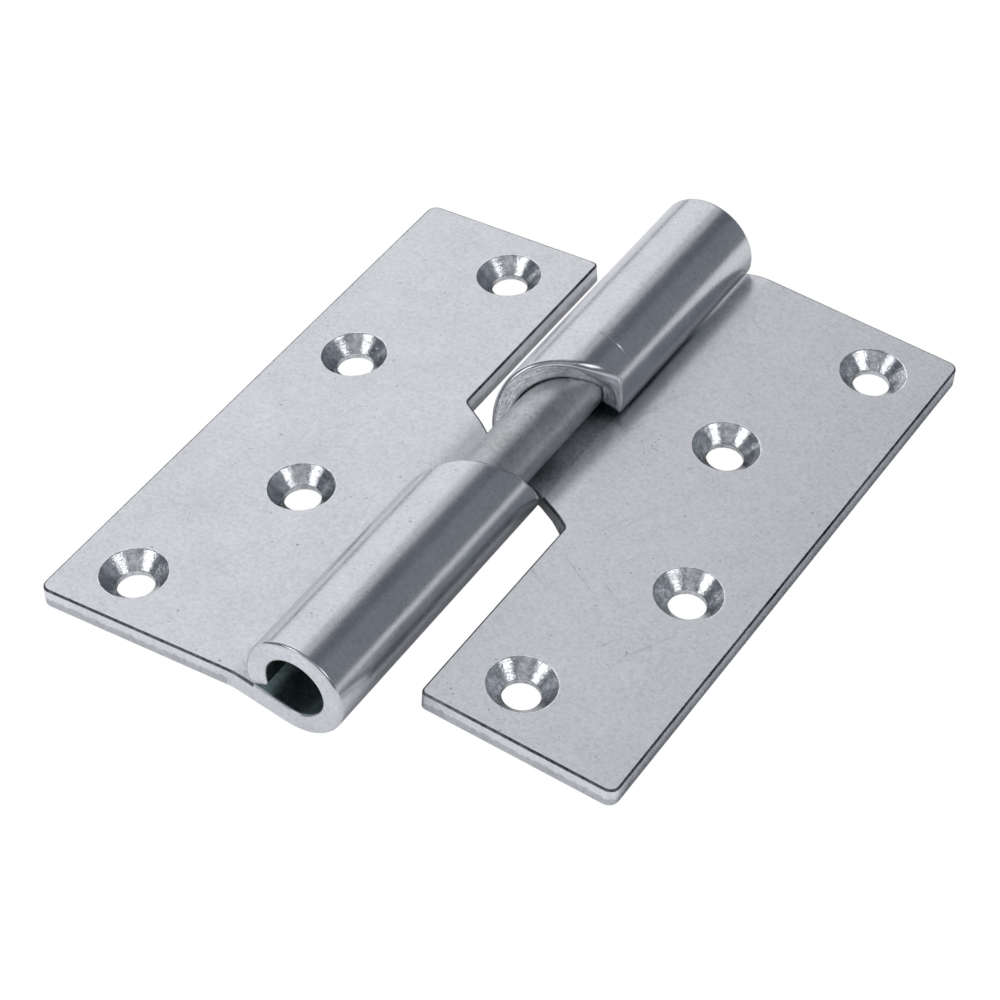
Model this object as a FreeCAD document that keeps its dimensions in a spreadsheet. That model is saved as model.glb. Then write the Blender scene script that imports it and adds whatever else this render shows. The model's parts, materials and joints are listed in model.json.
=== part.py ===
import FreeCAD, Part
import math
import os

import Sketcher

# Rising butt hinge, 100 mm, pressed steel: two identical leaves with rolled knuckles and a plain pin.
# The hinge lies open on its back, countersunk faces up. +X points across to the door leaf,
# +Y runs along the pin from its lower end to its upper end, +Z is up, and z = 0 is the table.
# Each leaf is drawn in its own frame: pin axis on Y, leaf towards -X, y = 0 half-way along the leaf.

os.makedirs("parts", exist_ok=True)
doc = FreeCAD.newDocument("rising_butt_hinge")

# ---------------------------------------------------------------- driving dimensions (millimetres)
DIMENSIONS = [
    ("leaf_length", 100.0, "height of one leaf along the pin"),
    ("leaf_reach", 43.9, "pin axis to the outer edge of a leaf"),
    ("plate", 3.15, "thickness of the strip both leaves are pressed from"),
    ("knuckle_radius", 7.8, "outside radius of the rolled knuckle"),
    ("face_drop", 1.95, "countersunk face below the pin axis"),
    ("crank_angle", 16.0, "slope of the strip where it dips under the knuckle"),
    ("crank_bend", 9.0, "radius of the bend at the top of the crank, on the strip's mid line"),
    ("roll_close", 18.0, "degrees that the roll runs past the level of the pin before its cut end"),
    ("leaf_shift", 10.8, "how far the door leaf stands above the frame leaf when fully open"),
    ("ramp_pitch", 23.5, "rise of the ramp for one whole turn"),
    ("ramp_gap", 0.6, "between the roots of the two ramps when fully open; 0.1 is left once they pass"),
    ("crest_depth", 16.0, "level end of the ramp, below its root"),
    ("notch_reach", 13.1, "pin axis to the edge that clears the other knuckle"),
    ("relief_reach", 6.0, "end of the shallow first length of the slanted notch edge"),
    ("relief_rise", 3.0, "rise of the notch edge over that length"),
    ("notch_rise", 7.6, "rise of the whole slanted notch edge"),
    ("corner_radius", 1.6, "rounding of the two outer corners of a leaf"),
    ("notch_radius", 1.0, "rounding in the inner corner of the notch"),
    ("hole_bore", 5.5, "screw hole"),
    ("hole_sink", 10.0, "countersink across the leaf face"),
    ("sink_angle", 90.0, "included angle of the countersink"),
    ("inner_row", 23.75, "pin axis to the two screw holes nearer the knuckle"),
    ("outer_row", 33.9, "pin axis to the two screw holes nearer the edge"),
    ("hole_first", 9.2, "first hole from the leaf end away from the knuckle (inner row)"),
    ("hole_second", 36.5, "second hole (outer row)"),
    ("hole_third", 64.7, "third hole (inner row)"),
    ("hole_fourth", 91.05, "fourth hole (outer row)"),
    ("end_round", 0.6, "rounding of the outside edge at the knuckle's free end"),
    ("pin_radius", 4.55, "radius of the pin"),
    ("pin_below", 44.0, "pin below the middle of the hinge"),
    ("pin_above", 42.0, "pin above the middle of the hinge"),
    ("pin_chamfer", 0.8, "chamfer on both pin ends"),
]

# tool sizes that only have to clear the metal, and a tolerance for finding edges
CUT_OVERRUN = 5.0
BLADE_OVERLAP = 0.4
BLADE_HEIGHT = 34.0
SECTOR_OVERLAP = 0.2
SECTOR_LAP = 0.5
NEAR = 0.01

sheet = doc.addObject("Spreadsheet::Sheet", "dims")
for row, (alias, value, note) in enumerate(DIMENSIONS, start=1):
    sheet.set(f"A{row}", alias)
    sheet.set(f"B{row}", str(value))
    sheet.set(f"C{row}", note)
    sheet.setAlias(f"B{row}", alias)
doc.recompute()


def dim(alias):
    return float(getattr(sheet, alias))


def origin_plane(body, role):
    return next(item for item in body.Origin.OriginFeatures if item.Role == role)


def sketch_on(body, role, name, lift=0.0):
    sketch = body.newObject("Sketcher::SketchObject", name)
    sketch.AttachmentSupport = [(origin_plane(body, role), "")]
    sketch.MapMode = "FlatFace"
    sketch.AttachmentOffset = FreeCAD.Placement(FreeCAD.Vector(0, 0, lift), FreeCAD.Rotation())
    return sketch


def bound(sketch, constraint, expression):
    """Add a sketch constraint whose value follows the sheet."""
    index = sketch.addConstraint(constraint)
    sketch.setExpression(f"Constraints[{index}]", expression)
    return index


def point(x, y):
    return FreeCAD.Vector(x, y, 0)


# ---------------------------------------------------------------- the section of the rolled strip
def section_pieces():
    """Closed section of a leaf seen along the pin: flat leaf, crank, roll round the pin, cut end."""
    outer = dim("knuckle_radius")
    inner = outer - dim("plate")
    slope = math.radians(dim("crank_angle"))
    bend_under = dim("crank_bend") - dim("plate") / 2
    bend_over = dim("crank_bend") + dim("plate") / 2
    face = -dim("face_drop")
    back = face - dim("plate")
    reach = -dim("leaf_reach")

    # the sloped strip is tangent to the roll, so its lower line meets the leaf's back here
    lower_x = -(outer / math.cos(slope) + back) / math.tan(slope)
    bend_x = lower_x - bend_under * math.tan(slope / 2)
    centre = point(bend_x, back - bend_under)

    root = -math.pi / 2 - slope
    close = math.pi + math.radians(dim("roll_close"))

    def polar(radius, angle, middle=point(0, 0)):
        return middle + point(radius * math.cos(angle), radius * math.sin(angle))

    def arc(middle, radius, start, end):
        circle = Part.Circle(middle, FreeCAD.Vector(0, 0, 1), radius)
        return Part.ArcOfCircle(circle, start, end)

    crest = math.pi / 2
    under_end = polar(bend_under, crest - slope, centre)
    over_end = polar(bend_over, crest - slope, centre)
    return [
        Part.LineSegment(point(reach, back), point(bend_x, back)),
        arc(centre, bend_under, crest - slope, crest),
        Part.LineSegment(under_end, polar(outer, root)),
        arc(point(0, 0), outer, root, close),
        Part.LineSegment(polar(outer, close), polar(inner, close)),
        arc(point(0, 0), inner, root, close),
        Part.LineSegment(polar(inner, root), over_end),
        arc(centre, bend_over, crest - slope, crest),
        Part.LineSegment(point(bend_x, face), point(reach, face)),
        Part.LineSegment(point(reach, face), point(reach, back)),
    ]


def draw_section(sketch):
    sketch.addGeometry(section_pieces(), False)
    tie = Sketcher.Constraint
    under_flat, under_bend, under_slope, roll_out, cut = range(5)
    roll_in, over_slope, over_bend, flat, edge = range(5, 10)
    joints = [
        (under_flat, 2, under_bend, 2), (under_bend, 1, under_slope, 1),
        (under_slope, 2, roll_out, 1), (roll_out, 2, cut, 1), (cut, 2, roll_in, 2),
        (roll_in, 1, over_slope, 1), (over_slope, 2, over_bend, 1),
        (over_bend, 2, flat, 1), (flat, 2, edge, 1), (edge, 2, under_flat, 1),
    ]
    for first, first_end, second, second_end in joints:
        sketch.addConstraint(tie("Coincident", first, first_end, second, second_end))
    sketch.addConstraint(tie("Coincident", roll_out, 3, -1, 1))
    sketch.addConstraint(tie("Coincident", roll_in, 3, -1, 1))
    sketch.addConstraint(tie("Coincident", under_bend, 3, over_bend, 3))
    sketch.addConstraint(tie("Horizontal", under_flat))
    sketch.addConstraint(tie("Horizontal", flat))
    sketch.addConstraint(tie("Vertical", edge))
    bound(sketch, tie("Radius", roll_out, dim("knuckle_radius")), "dims.knuckle_radius")
    bound(sketch, tie("Radius", roll_in, dim("knuckle_radius") - dim("plate")),
          "dims.knuckle_radius - dims.plate")
    bound(sketch, tie("Distance", edge, dim("plate")), "dims.plate")
    bound(sketch, tie("DistanceX", edge, 1, -1, 1, dim("leaf_reach")), "dims.leaf_reach")
    bound(sketch, tie("DistanceY", edge, 1, -1, 1, dim("face_drop")), "dims.face_drop")


# ---------------------------------------------------------------- the cuts that make a leaf of the strip
def ramp_root():
    """Where the ramp starts, under the pin, in the leaf's own frame."""
    return (dim("leaf_shift") - dim("ramp_gap")) / 2


def draw_polygon(sketch, corners):
    """Straight closed outline through the corners; returns the index of its first line."""
    ends = zip(corners, corners[1:] + corners[:1])
    lines = [Part.LineSegment(point(*start), point(*end)) for start, end in ends]
    indices = sketch.addGeometry(lines, False)
    for place, index in enumerate(indices):
        following = indices[(place + 1) % len(indices)]
        sketch.addConstraint(Sketcher.Constraint("Coincident", index, 2, following, 1))
    return indices[0]


def cut_corner(body, name, side):
    """One outer corner of the leaf, cut off round; side is 1 at its far end and -1 at its near end."""
    sketch = sketch_on(body, "XY_Plane", f"{body.Label}_{name}_outline")
    radius = dim("corner_radius")
    half = dim("leaf_length") / 2
    middle = point(radius - dim("leaf_reach"), side * (half - radius))
    beyond = point(-dim("leaf_reach") - CUT_OVERRUN, side * (half + CUT_OVERRUN))
    circle = Part.Circle(middle, FreeCAD.Vector(0, 0, 1), radius)
    quarter = (math.pi / 2, math.pi) if side > 0 else (math.pi, math.pi * 3 / 2)
    end_vertex, edge_vertex = (1, 2) if side > 0 else (2, 1)
    corners = [
        point(middle.x, side * half), point(middle.x, beyond.y), beyond,
        point(beyond.x, middle.y), point(-dim("leaf_reach"), middle.y),
    ]
    sides = [Part.LineSegment(a, b) for a, b in zip(corners, corners[1:])]
    arc, riser, over, outer, back = sketch.addGeometry([Part.ArcOfCircle(circle, *quarter)] + sides, False)
    tie = Sketcher.Constraint

    def height(geometry, vertex, value):
        ends = (-1, 1, geometry, vertex) if side > 0 else (geometry, vertex, -1, 1)
        return tie("DistanceY", *ends, value)

    for first, first_vertex, second, second_vertex in [
            (arc, end_vertex, riser, 1), (riser, 2, over, 1), (over, 2, outer, 1),
            (outer, 2, back, 1), (back, 2, arc, edge_vertex)]:
        sketch.addConstraint(tie("Coincident", first, first_vertex, second, second_vertex))
    for direction, line in [
            ("Vertical", riser), ("Horizontal", over), ("Vertical", outer), ("Horizontal", back)]:
        sketch.addConstraint(tie(direction, line))
    sketch.addConstraint(tie("Vertical", arc, end_vertex, arc, 3))
    sketch.addConstraint(tie("Horizontal", arc, edge_vertex, arc, 3))
    bound(sketch, tie("Radius", arc, radius), "dims.corner_radius")
    bound(sketch, tie("DistanceX", arc, 3, -1, 1, -middle.x), "dims.leaf_reach - dims.corner_radius")
    bound(sketch, height(arc, 3, half - radius), "dims.leaf_length / 2 - dims.corner_radius")
    bound(sketch, tie("DistanceX", over, 2, -1, 1, -beyond.x), f"dims.leaf_reach + {CUT_OVERRUN}")
    bound(sketch, height(over, 2, half + CUT_OVERRUN), f"dims.leaf_length / 2 + {CUT_OVERRUN}")
    corner = body.newObject("PartDesign::Pocket", f"{body.Label}_{name}")
    corner.Profile = sketch
    corner.Type = "ThroughAll"
    corner.Midplane = True


def cut_corners(body):
    """Both outer corners. A fillet would run on along the rounded back edge of the knuckle's end."""
    cut_corner(body, "far_corner", 1)
    doc.recompute()
    cut_corner(body, "near_corner", -1)


def cut_notch(body):
    """Room for the other leaf's knuckle, with the slanted edge that runs into the ramp."""
    sketch = sketch_on(body, "XY_Plane", body.Label + "_notch_outline")
    root = ramp_root()
    clear_x = dim("knuckle_radius") + CUT_OVERRUN
    clear_y = dim("leaf_length") / 2 + CUT_OVERRUN
    first = draw_polygon(sketch, [
        (0, root),
        (-dim("relief_reach"), root + dim("relief_rise")),
        (-dim("notch_reach"), root + dim("notch_rise")),
        (-dim("notch_reach"), clear_y),
        (clear_x, clear_y),
        (clear_x, root),
    ])
    tie = Sketcher.Constraint
    start = "(dims.leaf_shift - dims.ramp_gap) / 2"
    sketch.addConstraint(tie("PointOnObject", first, 1, -2))
    bound(sketch, tie("DistanceY", -1, 1, first, 1, root), start)
    bound(sketch, tie("DistanceX", first, 2, -1, 1, dim("relief_reach")), "dims.relief_reach")
    bound(sketch, tie("DistanceY", -1, 1, first, 2, root + dim("relief_rise")),
          start + " + dims.relief_rise")
    bound(sketch, tie("DistanceX", first + 1, 2, -1, 1, dim("notch_reach")), "dims.notch_reach")
    bound(sketch, tie("DistanceY", -1, 1, first + 1, 2, root + dim("notch_rise")),
          start + " + dims.notch_rise")
    sketch.addConstraint(tie("Vertical", first + 2))
    sketch.addConstraint(tie("Horizontal", first + 3))
    sketch.addConstraint(tie("Vertical", first + 4))
    sketch.addConstraint(tie("Horizontal", first + 5))
    bound(sketch, tie("DistanceX", -1, 1, first + 3, 2, clear_x), f"dims.knuckle_radius + {CUT_OVERRUN}")
    bound(sketch, tie("DistanceY", -1, 1, first + 3, 2, clear_y), f"dims.leaf_length / 2 + {CUT_OVERRUN}")
    notch = body.newObject("PartDesign::Pocket", body.Label + "_notch")
    notch.Profile = sketch
    notch.Type = "ThroughAll"
    notch.Midplane = True


def cut_ramp(body):
    """A radial blade carried round the pin on a helix leaves the rising end face of the knuckle."""
    sketch = sketch_on(body, "YZ_Plane", body.Label + "_ramp_blade")
    root = ramp_root()
    reach_in = -(dim("knuckle_radius") - dim("plate") - BLADE_OVERLAP)
    reach_out = -(dim("knuckle_radius") + BLADE_OVERLAP)
    top = root + BLADE_HEIGHT
    draw_polygon(sketch, [(root, reach_out), (root, reach_in), (top, reach_in), (top, reach_out)])
    blade = body.newObject("PartDesign::SubtractiveHelix", body.Label + "_ramp")
    blade.Profile = sketch
    blade.ReferenceAxis = (sketch, ["H_Axis"])
    blade.Mode = "pitch-turns-angle"
    blade.HasBeenEdited = True
    blade.setExpression("Pitch", "dims.ramp_pitch")
    blade.setExpression("Turns", "dims.crest_depth / dims.ramp_pitch")
    blade.Reversed = True


def cut_crest(body):
    """Level end of the ramp: a sector of the roll is taken off square, up to its cut end."""
    inner = dim("knuckle_radius") - dim("plate") - BLADE_OVERLAP
    outer = dim("knuckle_radius") + SECTOR_OVERLAP
    start = math.radians(360 * dim("crest_depth") / dim("ramp_pitch") - 90)
    end = math.radians(180 + dim("roll_close") + SECTOR_LAP)
    sketch = sketch_on(body, "XZ_Plane", body.Label + "_crest_sector", dim("crest_depth") - ramp_root())
    sketch.setExpression(
        "AttachmentOffset.Base.z", "dims.crest_depth - (dims.leaf_shift - dims.ramp_gap) / 2")

    def arc(radius):
        circle = Part.Circle(point(0, 0), FreeCAD.Vector(0, 0, 1), radius)
        return Part.ArcOfCircle(circle, start, end)

    def spoke(angle):
        direction = point(math.cos(angle), math.sin(angle))
        return Part.LineSegment(direction * inner, direction * outer)

    edges = [arc(inner), arc(outer), spoke(start), spoke(end)]
    small, large, first, last = sketch.addGeometry(edges, False)
    for curve, curve_end, line, line_end in [
        (small, 1, first, 1), (large, 1, first, 2), (small, 2, last, 1), (large, 2, last, 2)]:
        sketch.addConstraint(Sketcher.Constraint("Coincident", curve, curve_end, line, line_end))
    crest = body.newObject("PartDesign::Pocket", body.Label + "_crest")
    crest.Profile = sketch
    crest.Length = BLADE_HEIGHT
    crest.Reversed = False


def drill_holes(body):
    """Four countersunk screw holes, two rows, drilled from the leaf's face."""
    sketch = sketch_on(body, "XY_Plane", body.Label + "_hole_centres", -dim("face_drop"))
    sketch.setExpression("AttachmentOffset.Base.z", "-dims.face_drop")
    half = dim("leaf_length") / 2
    for row, place in [("inner_row", "hole_first"), ("outer_row", "hole_second"),
                       ("inner_row", "hole_third"), ("outer_row", "hole_fourth")]:
        centre = point(-dim(row), half - dim(place))
        circle = sketch.addGeometry(
            Part.Circle(centre, FreeCAD.Vector(0, 0, 1), dim("hole_bore") / 2), False)
        bound(sketch, Sketcher.Constraint("DistanceX", circle, 3, -1, 1, dim(row)), f"dims.{row}")
        bound(sketch, Sketcher.Constraint("DistanceY", -1, 1, circle, 3, half - dim(place)),
              f"dims.leaf_length / 2 - dims.{place}")
        bound(sketch, Sketcher.Constraint("Radius", circle, dim("hole_bore") / 2), "dims.hole_bore / 2")
    doc.recompute()
    holes = body.newObject("PartDesign::Hole", body.Label + "_screw_holes")
    holes.Profile = sketch
    holes.DepthType = "ThroughAll"
    holes.setExpression("Diameter", "dims.hole_bore")
    holes.HoleCutType = "Countersink"
    holes.HoleCutCustomValues = True
    holes.setExpression("HoleCutDiameter", "dims.hole_sink")
    holes.setExpression("HoleCutCountersinkAngle", "dims.sink_angle")


def edges_where(shape, wanted):
    return [f"Edge{number}" for number, edge in enumerate(shape.Edges, start=1) if wanted(edge)]


def round_edges(body, name, wanted, alias):
    doc.recompute()
    base = body.Tip
    names = edges_where(base.Shape, wanted)
    print(f"{body.Label}: {name} on {len(names)} edges")
    fillet = body.newObject("PartDesign::Fillet", f"{body.Label}_{name}")
    fillet.Base = (base, names)
    fillet.setExpression("Radius", f"dims.{alias}")
    doc.recompute()


def on(edge, **planes):
    """Whether every vertex and the middle of the edge lie at the given x, y or z."""
    middle = edge.valueAt((edge.FirstParameter + edge.LastParameter) / 2)
    spots = [vertex.Point for vertex in edge.Vertexes] + [middle]
    return all(abs(getattr(spot, axis) - value) < NEAR for spot in spots for axis, value in planes.items())


# ---------------------------------------------------------------- one leaf
def build_leaf(name):
    """Pressed leaf with its rolled knuckle, in its own frame."""
    body = doc.addObject("PartDesign::Body", name)
    body.Label = name
    half = dim("leaf_length") / 2
    section = sketch_on(body, "XZ_Plane", name + "_section")
    draw_section(section)
    strip = body.newObject("PartDesign::Pad", name + "_strip")
    strip.Profile = section
    strip.Midplane = True
    strip.setExpression("Length", "dims.leaf_length")
    doc.recompute()

    round_edges(body, "roll_end", lambda edge: (
        on(edge, y=-half) and edge.Curve.TypeId == "Part::GeomCircle"
        and abs(edge.Curve.Radius - dim("knuckle_radius")) < NEAR), "end_round")

    for cut in (cut_corners, cut_notch, cut_ramp, cut_crest, drill_holes):
        before = body.Shape.Volume
        cut(body)
        doc.recompute()
        print(f"{name}: {cut.__name__} took {before - body.Shape.Volume:.1f} mm3")

    notch_corner = ramp_root() + dim("notch_rise")
    round_edges(body, "notch_corners", lambda edge: (
        on(edge, x=-dim("notch_reach"), y=half) or on(edge, x=-dim("notch_reach"), y=notch_corner)),
        "notch_radius")
    return body


def leaf_tilt():
    """Slope, in degrees, at which a leaf's outer edge and its knuckle both touch the table."""
    back = dim("face_drop") + dim("plate")
    reach = dim("leaf_reach")
    tilt = math.asin(dim("knuckle_radius") / math.hypot(reach, back)) - math.atan2(back, reach)
    return math.degrees(tilt)


def place_leaves(frame_leaf, door_leaf):
    """Both leaves lean down from the knuckle; the door leaf is the same pressing turned end for end."""
    tilt = leaf_tilt()
    lean = FreeCAD.Rotation(FreeCAD.Vector(0, 1, 0), -tilt)
    turn = FreeCAD.Rotation(FreeCAD.Vector(0, 0, 1), 180)
    for leaf, side, rotation in [(frame_leaf, "-", lean), (door_leaf, "", turn.multiply(lean))]:
        leaf.Placement = FreeCAD.Placement(FreeCAD.Vector(0, 0, 0), rotation)
        leaf.setExpression("Placement.Base.y", f"{side}dims.leaf_shift / 2")
        leaf.setExpression("Placement.Base.z", "dims.knuckle_radius")
    print(f"each leaf leans {tilt:.2f} degrees, so the hinge lies open {180 + 2 * tilt:.2f} degrees")


# ---------------------------------------------------------------- the pin
def build_pin(name):
    """Plain steel pin with chamfered ends, along Y."""
    body = doc.addObject("PartDesign::Body", name)
    body.Label = name
    half = dim("leaf_length") / 2
    sketch = sketch_on(body, "XZ_Plane", name + "_section", dim("pin_below"))
    sketch.setExpression("AttachmentOffset.Base.z", "dims.pin_below")
    circle = sketch.addGeometry(Part.Circle(point(0, 0), FreeCAD.Vector(0, 0, 1), dim("pin_radius")), False)
    sketch.addConstraint(Sketcher.Constraint("Coincident", circle, 3, -1, 1))
    bound(sketch, Sketcher.Constraint("Radius", circle, dim("pin_radius")), "dims.pin_radius")
    rod = body.newObject("PartDesign::Pad", name + "_rod")
    rod.Profile = sketch
    rod.Reversed = True
    rod.setExpression("Length", "dims.pin_below + dims.pin_above")
    doc.recompute()
    ends = edges_where(rod.Shape, lambda edge: edge.Curve.TypeId == "Part::GeomCircle")
    chamfer = body.newObject("PartDesign::Chamfer", name + "_ends")
    chamfer.Base = (rod, ends)
    chamfer.setExpression("Size", "dims.pin_chamfer")
    body.setExpression("Placement.Base.z", "dims.knuckle_radius")
    return body


frame_leaf = build_leaf("frame_leaf")
door_leaf = build_leaf("door_leaf")
hinge_pin = build_pin("hinge_pin")
place_leaves(frame_leaf, door_leaf)
doc.recompute()

# ---------------------------------------------------------------- checks, then one STEP file for each piece
for item in doc.Objects:
    for fault in ("Invalid", "Error"):
        if fault in item.State:
            raise RuntimeError(f"{item.Name} is {item.State}")

for body in (frame_leaf, door_leaf, hinge_pin):
    shape = body.Shape
    if shape.isNull() or not shape.isValid() or len(shape.Solids) != 1:
        raise RuntimeError(f"{body.Label} is not one valid solid")
    shape.exportStep(f"parts/{body.Label}.step")
    box = shape.optimalBoundingBox()
    print(f"{body.Label}: {shape.Volume:.0f} mm3, x {box.XMin:.2f}..{box.XMax:.2f}, "
          f"y {box.YMin:.2f}..{box.YMax:.2f}, z {box.ZMin:.2f}..{box.ZMax:.2f}")

for first, second in [(frame_leaf, door_leaf), (frame_leaf, hinge_pin), (door_leaf, hinge_pin)]:
    shared = first.Shape.common(second.Shape).Volume
    apart = first.Shape.distToShape(second.Shape)[0]
    print(f"{first.Label} and {second.Label}: shared volume {shared:.4f} mm3, nearest {apart:.3f} mm")
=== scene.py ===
# %% [markdown]
# # A pressed steel rising butt hinge
#
# The real hinge is three pieces. Two leaves are blanked flat from steel strip, countersunk, and then
# one side of each is rolled into a knuckle. A plain pin runs through both knuckles. The ends of the
# knuckles that face each other are the slanted edge of the blank, so once they are rolled up they
# become ramps, and the door rises as it opens.
#
# This script builds the leaves the way the press shop does: a flat blank first, with its holes and
# its rounded sheared edges, then one bending rule that wraps the blank round the pin. Everything
# that is awkward to model directly, such as the twisted end of the knuckle, comes out by itself.

import json
import math
import random

import bpy
import mathutils
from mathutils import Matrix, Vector
from mathutils.geometry import delaunay_2d_cdt


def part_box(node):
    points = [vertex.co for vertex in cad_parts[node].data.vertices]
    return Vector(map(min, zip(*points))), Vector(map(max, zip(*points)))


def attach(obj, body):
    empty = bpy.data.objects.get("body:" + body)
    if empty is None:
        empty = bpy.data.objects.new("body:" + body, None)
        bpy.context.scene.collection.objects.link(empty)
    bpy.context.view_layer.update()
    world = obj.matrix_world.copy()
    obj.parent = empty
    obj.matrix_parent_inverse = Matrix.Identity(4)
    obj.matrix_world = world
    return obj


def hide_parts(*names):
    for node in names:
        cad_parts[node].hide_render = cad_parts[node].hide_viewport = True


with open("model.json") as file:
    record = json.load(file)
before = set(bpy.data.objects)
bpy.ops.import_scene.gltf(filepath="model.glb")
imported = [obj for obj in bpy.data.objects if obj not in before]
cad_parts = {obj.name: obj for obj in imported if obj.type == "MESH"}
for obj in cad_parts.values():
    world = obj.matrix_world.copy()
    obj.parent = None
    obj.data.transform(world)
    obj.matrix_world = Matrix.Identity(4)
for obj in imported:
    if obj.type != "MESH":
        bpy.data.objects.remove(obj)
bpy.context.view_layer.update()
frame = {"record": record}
record = frame["record"]

# %% [markdown]
# ## Sizes from the frame
#
# Every size that the CAD part fixes is read back from it: the pin's height from the swing joint, the
# rise of the ramp from the coupling, the hole rows from the screw mounts and the outside sizes from
# the boxes of the pieces. Only the strip's own sizes, such as its thickness, are stated here.

# %% Sizes
MM = 0.001
joints = {joint["name"]: joint for joint in record["behaviour"]["joints"]}
mounts = {mount["name"]: mount for mount in record["mounts"]}
pin_height = joints["leaf_swing"]["pos_m"][2]
ramp_per_radian = abs(record["behaviour"]["couplings"][0]["ratio"])
leaf_low, leaf_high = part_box("frame_leaf")
leaf_length = leaf_high.y - leaf_low.y
leaf_shift = -(leaf_high.y + leaf_low.y)
lean = math.asin(abs(mounts["frame_leaf_inner_screws"]["axis"][0]))

knuckle_radius = leaf_high.z - pin_height
strip = 3.15 * MM
half_strip = strip / 2
mid_radius = knuckle_radius - half_strip
face_drop = 1.95 * MM
crank_angle = math.radians(16)
crank_bend = 9.0 * MM
roll_close = math.radians(18)
leaf_reach = 43.9 * MM
print("knuckle radius %.2f mm, leaf %.1f mm long, lean %.2f degrees, ramp %.2f mm a turn" % (
    knuckle_radius / MM, leaf_length / MM, math.degrees(lean), ramp_per_radian * math.tau / MM))

# %% [markdown]
# ## The camera
#
# A long lens from about half a metre away, looking down at the open hinge from its lower end. The
# long lens keeps the two leaves nearly parallel in the picture.

# %% Camera
def aim(position, target, roll=0.0):
    """Rotation that looks from position to target, turned by roll about the line of sight."""
    turn = (target - position).to_track_quat("-Z", "Y")
    return turn @ mathutils.Quaternion((0, 0, 1), roll)


camera_turn = math.radians(32.456)
camera_rise = math.radians(44.307)
camera_distance = 464.4 * MM
camera_target = Vector((3.77 * MM, -10.01 * MM, pin_height))
camera_back = Vector((
    math.sin(camera_turn) * math.cos(camera_rise),
    -math.cos(camera_turn) * math.cos(camera_rise),
    math.sin(camera_rise)))

camera = bpy.data.objects.new("camera", bpy.data.cameras.new("camera"))
bpy.context.collection.objects.link(camera)
camera.data.lens = 118.3
camera.data.sensor_width = 36.0
camera.data.clip_start = 0.01
camera.location = camera_target + camera_back * camera_distance
camera.rotation_mode = "QUATERNION"
camera.rotation_quaternion = aim(camera.location, camera_target, math.radians(0.154))
bpy.context.scene.camera = camera
print("camera at (mm)", [round(value / MM, 1) for value in camera.location])

# %% [markdown]
# ## Node helpers
#
# Six small helpers keep the later cells short. One makes an empty node tree with named sockets and
# one adds a node with its settings. The other four are steps that come up again and again: a sum, a
# noise, a rescaled range and stretched coordinates.

# %% Node helpers
def new_group(name, inputs, outputs, kind="ShaderNodeTree"):
    """A node group; inputs are (name, socket kind, default), outputs are (name, socket kind)."""
    group = bpy.data.node_groups.new(name, kind)
    for label, socket_kind, default in inputs:
        socket = group.interface.new_socket(label, in_out="INPUT", socket_type=socket_kind)
        if default is not None:
            socket.default_value = default
    for label, socket_kind in outputs:
        group.interface.new_socket(label, in_out="OUTPUT", socket_type=socket_kind)
    return group, group.nodes.new("NodeGroupInput"), group.nodes.new("NodeGroupOutput")


def add(tree, kind, values=(), **settings):
    """A node with its settings; values maps input sockets to numbers or to other sockets."""
    node = tree.nodes.new(kind)
    for key, value in settings.items():
        setattr(node, key, value)
    for key, value in dict(values).items():
        if isinstance(value, bpy.types.NodeSocket):
            tree.links.new(value, node.inputs[key])
        else:
            node.inputs[key].default_value = value
    return node


def maths(tree, operation, first, second=0.0, third=0.0):
    """One arithmetic step; returns its output socket."""
    values = {0: first, 1: second, 2: third}
    return add(tree, "ShaderNodeMath", values, operation=operation).outputs[0]


def noise(tree, place, scale, detail=2.0, roughness=0.5):
    """Noise between about 0.2 and 0.8; returns its output socket."""
    values = {"Vector": place, "Scale": scale, "Detail": detail, "Roughness": roughness}
    return add(tree, "ShaderNodeTexNoise", values).outputs["Fac"]


def ramp_between(tree, value, low, high, start=0.0, end=1.0):
    """Value rescaled so that low becomes start and high becomes end, and held outside them."""
    values = {"Value": value, "From Min": low, "From Max": high, "To Min": start, "To Max": end}
    return add(tree, "ShaderNodeMapRange", values).outputs[0]


def stretched(tree, place, scale, turn=(0, 0, 0)):
    """Coordinates turned and stretched, so that a noise on them draws streaks."""
    turned = add(tree, "ShaderNodeMapping", {"Vector": place, "Rotation": turn})
    values = {"Vector": turned.outputs[0], "Scale": scale}
    return add(tree, "ShaderNodeMapping", values).outputs[0]


# %% [markdown]
# ## The bending rule
#
# A point of the flat blank has three coordinates: how far along the strip it is (zero under the pin,
# negative towards the leaf's outer edge), where it is along the pin, and how high it is above the
# strip's mid line. The rule walks along the section: flat leaf, a bend down, a short slope, and then
# the roll round the pin. It returns the bent place and the two directions that the surface has there.

# %% Bending rule
slope_start = -mid_radius * crank_angle
level_height = -(face_drop + half_strip)
slope_foot = Vector((-math.sin(crank_angle), -math.cos(crank_angle))) * mid_radius
slope_way = Vector((math.cos(crank_angle), -math.sin(crank_angle)))
bend_drop = crank_bend * (1 - math.cos(crank_angle))
slope_length = (level_height - slope_foot.y - bend_drop) / math.sin(crank_angle)
bend_start = slope_start - slope_length
flat_start = bend_start - crank_bend * crank_angle
bend_foot = slope_foot - slope_way * slope_length
bend_centre = bend_foot - Vector((math.sin(crank_angle), math.cos(crank_angle))) * crank_bend
roll_end = mid_radius * (math.radians(270) + roll_close)


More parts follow.
